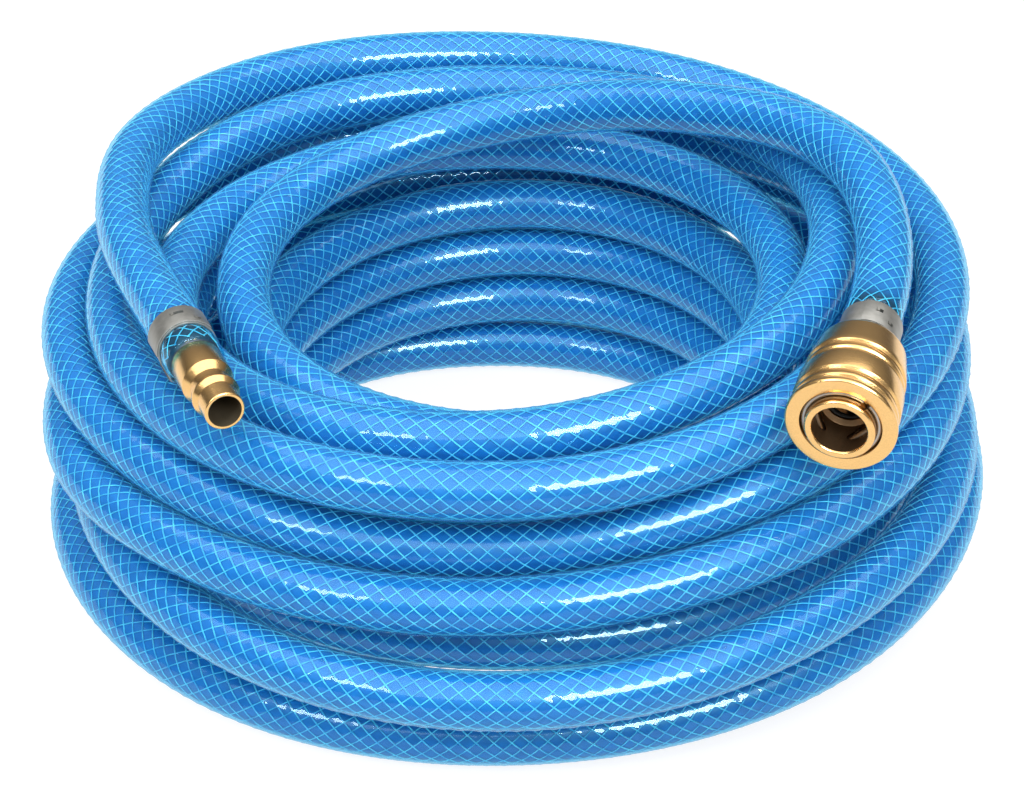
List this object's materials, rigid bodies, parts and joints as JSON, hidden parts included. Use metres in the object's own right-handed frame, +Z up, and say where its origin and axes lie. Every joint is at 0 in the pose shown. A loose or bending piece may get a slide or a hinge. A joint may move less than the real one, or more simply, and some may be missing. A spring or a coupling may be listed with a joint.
{
  "type": "coiled air hose",
  "caption": "Coil of clear blue braided air hose with a brass quick coupler on one end and a brass plug on the other, each held by a one-ear steel clamp.",
  "frame": {"origin": "on the floor under the middle of the coil", "axes": "+Z up; the coupler and the plug point towards -Y, with the coupler on the +X side"},
  "size_m": [0.276, 0.276, 0.1193],
  "materials": {
    "hose": "clear blue flexible PVC with a woven yarn layer inside",
    "brass": "turned and polished",
    "clamp_steel": "satin",
    "wire_steel": "drawn wire",
    "seal_rubber": "matt black"
  },
  "bodies": {
    "hose_and_fittings": {"hose_coil": "hose", "hose_upper_turns": "hose", "hose_run_to_plug": "hose", "hose_cuff_coupler": "hose", "hose_cuff_plug": "hose", "plug_nipple": "brass", "plug_hose_clamp": "clamp_steel", "coupler_hose_clamp": "clamp_steel", "coupler_hose_tail": "brass", "coupler_body": "brass", "socket_seal": "seal_rubber", "sleeve_retaining_ring": "wire_steel", "sleeve_spring": "wire_steel", "valve_spring": "wire_steel"},
    "sleeve": {"locking_sleeve": "brass"},
    "valve": {"valve_poppet": "brass", "valve_seal": "seal_rubber"},
    "pin_1": {"locking_pin_1": "wire_steel"},
    "pin_2": {"locking_pin_2": "wire_steel"},
    "pin_3": {"locking_pin_3": "wire_steel"}
  },
  "joints": [
    {"name": "sleeve_slide", "type": "slide", "parent": "hose_and_fittings", "child": "sleeve", "axis": [0.2741, 0.956, 0.1045], "range_m": [0, 0.003], "stiffness_N_per_m": 2000, "springref_m": -0.004, "deforming": ["sleeve_spring"]},
    {"name": "valve_slide", "type": "slide", "parent": "hose_and_fittings", "child": "valve", "axis": [0.2741, 0.956, 0.1045], "range_m": [0, 0.004], "stiffness_N_per_m": 1500, "springref_m": -0.003, "deforming": ["valve_spring"]},
    {"name": "pin_1_slide", "type": "slide", "parent": "hose_and_fittings", "child": "pin_1", "axis": [0.5207, 0.8383, -0.1619], "range_m": [0, 0.00324]},
    {"name": "pin_2_slide", "type": "slide", "parent": "hose_and_fittings", "child": "pin_2", "axis": [0.3308, 0.8249, 0.4584], "range_m": [0, 0.00324]},
    {"name": "pin_3_slide", "type": "slide", "parent": "hose_and_fittings", "child": "pin_3", "axis": [-0.089, 0.996, -0.0058], "range_m": [0, 0.00324]}
  ],
  "couplings": [
    {"joint": "pin_1_slide", "follows": "sleeve_slide", "ratio": 1.0785},
    {"joint": "pin_2_slide", "follows": "sleeve_slide", "ratio": 1.0785},
    {"joint": "pin_3_slide", "follows": "sleeve_slide", "ratio": 1.0785}
  ]
}
